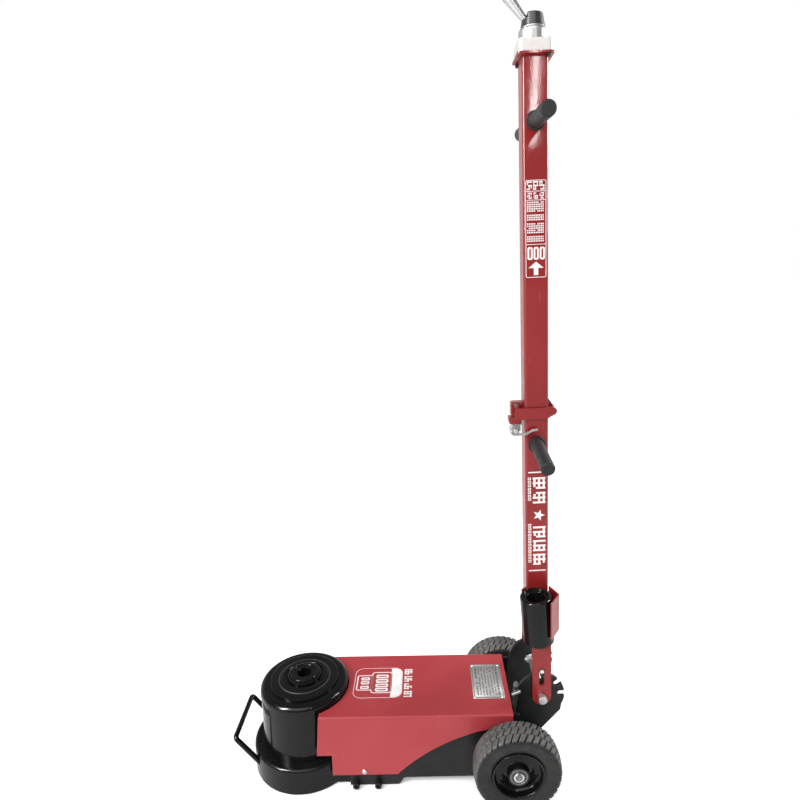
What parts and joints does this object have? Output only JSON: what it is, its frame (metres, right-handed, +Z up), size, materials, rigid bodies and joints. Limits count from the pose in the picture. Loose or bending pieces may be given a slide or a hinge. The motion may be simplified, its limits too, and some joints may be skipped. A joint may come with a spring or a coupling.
{
  "type": "air-hydraulic floor jack",
  "caption": "Two-stage air-hydraulic floor jack: low oil-tank ram under a sheet hood, wheeled axle, notched tilt quadrants, and an upright folding handle with air valve and adapter.",
  "frame": {"origin": "on the floor under the ram's axis", "axes": "+X from the ram to the wheels, +Y to the far side, +Z up; the near wheel is on -Y"},
  "size_m": [0.7897, 0.379, 1.7578],
  "materials": {
    "cast": "painted casting",
    "steel": "turned",
    "black_paint": "gloss black enamel",
    "seal": "matt",
    "packing": "fabric reinforced",
    "zinc": "zinc plated",
    "red_paint": "satin red, fine orange peel",
    "plate": "printed plate",
    "aluminium": "machined",
    "black_chassis": "semi-gloss black",
    "rubber": "matt",
    "tyre": "dusty tread",
    "chrome": "polished",
    "black_cap": "moulded",
    "brass": "turned"
  },
  "bodies": {
    "chassis": {"foot_casting": "cast", "pump_block": "cast", "main_cylinder": "steel", "oil_tank": "black_paint", "head_nut": "black_paint", "ram_seals": "seal", "front_bail": "black_paint", "oil_plugs": "zinc", "hood": "red_paint", "hood_screws": "zinc", "data_plate": "plate", "data_plate_rivets": "aluminium", "frame_plates": "black_chassis", "frame_bolts": "black_chassis", "floor_pan": "black_chassis", "quadrants": "black_chassis", "axle": "steel", "axle_circlips": "steel", "air_cylinder": "aluminium", "air_cylinder_caps": "aluminium", "tie_rods": "steel", "piston_spring": "steel", "air_hose": "rubber", "hose_clamp": "zinc"},
    "outer_stage": {"outer_ram": "black_paint", "outer_ram_packing": "packing"},
    "inner_stage": {"inner_ram": "black_paint", "inner_ram_packing": "packing", "ram_saddle": "black_paint"},
    "wheel_near_side": {"tyre_near": "tyre", "rim_near": "black_paint", "bearings_near": "steel"},
    "wheel_far_side": {"tyre_far": "tyre", "rim_far": "black_paint", "bearings_far": "steel"},
    "pump_piston": {"air_piston": "steel"},
    "handle_lower": {"yoke": "red_paint", "pivot_pin": "zinc", "pin_circlips": "zinc", "adapter_holder": "red_paint", "lower_tube": "red_paint", "lower_collar": "red_paint", "fold_pin": "red_paint", "latch_bracket": "zinc", "latch_screw": "zinc", "lower_grips": "rubber"},
    "lock": {"lock_bar": "zinc", "release_lug": "zinc"},
    "latch": {"latch_lever": "chrome"},
    "adapter": {"extension_adapter": "black_paint"},
    "handle_upper": {"upper_tube": "red_paint", "upper_collar": "red_paint", "latch_keeper": "zinc", "upper_grips": "rubber", "valve_block": "aluminium", "valve_bolts": "black_chassis", "air_inlet": "brass", "valve_hose": "rubber"},
    "valve": {"valve_cap": "black_cap", "valve_lever": "chrome"}
  },
  "joints": [
    {"name": "outer_stage_lift", "type": "slide", "parent": "chassis", "child": "outer_stage", "axis": [0, 0, 1], "range_m": [0, 0.12]},
    {"name": "inner_stage_lift", "type": "slide", "parent": "outer_stage", "child": "inner_stage", "axis": [0, 0, 1], "range_m": [0, 0.115]},
    {"name": "wheel_near_spin", "type": "hinge", "parent": "chassis", "child": "wheel_near_side", "pos_m": [0.504, -0.157, 0.1], "axis": [0, 1, 0], "continuous": true},
    {"name": "wheel_far_spin", "type": "hinge", "parent": "chassis", "child": "wheel_far_side", "pos_m": [0.504, 0.157, 0.1], "axis": [0, 1, 0], "continuous": true},
    {"name": "pump_stroke", "type": "slide", "parent": "chassis", "child": "pump_piston", "axis": [-1, 0, 0], "range_m": [0, 0.05], "stiffness_N_per_m": 400, "springref_m": -0.01, "deforming": ["piston_spring"]},
    {"name": "handle_tilt", "type": "hinge", "parent": "chassis", "child": "handle_lower", "pos_m": [0.572, 0, 0.216], "axis": [0, 1, 0], "range_deg": [0, 89.2]},
    {"name": "lock_slide", "type": "slide", "parent": "handle_lower", "child": "lock", "axis": [-0.0384, 0, 0.9993], "range_m": [-0.023, 0]},
    {"name": "handle_fold", "type": "hinge", "parent": "handle_lower", "child": "handle_upper", "pos_m": [0.58083, 0, 0.89784], "axis": [0, -1, 0], "range_deg": [-175, 0]},
    {"name": "latch_swing", "type": "hinge", "parent": "handle_lower", "child": "latch", "pos_m": [0.5037, 0, 0.84784], "axis": [0, -1, 0], "range_deg": [0, 60]},
    {"name": "adapter_lift", "type": "slide", "parent": "handle_lower", "child": "adapter", "axis": [-0.0993, 0, 0.9951], "range_m": [0, 0.12]},
    {"name": "valve_turn", "type": "hinge", "parent": "handle_upper", "child": "valve", "pos_m": [0.51634, 0, 1.66493], "axis": [-0.0384, 0, 0.9993], "range_deg": [-45, 45]}
  ]
}
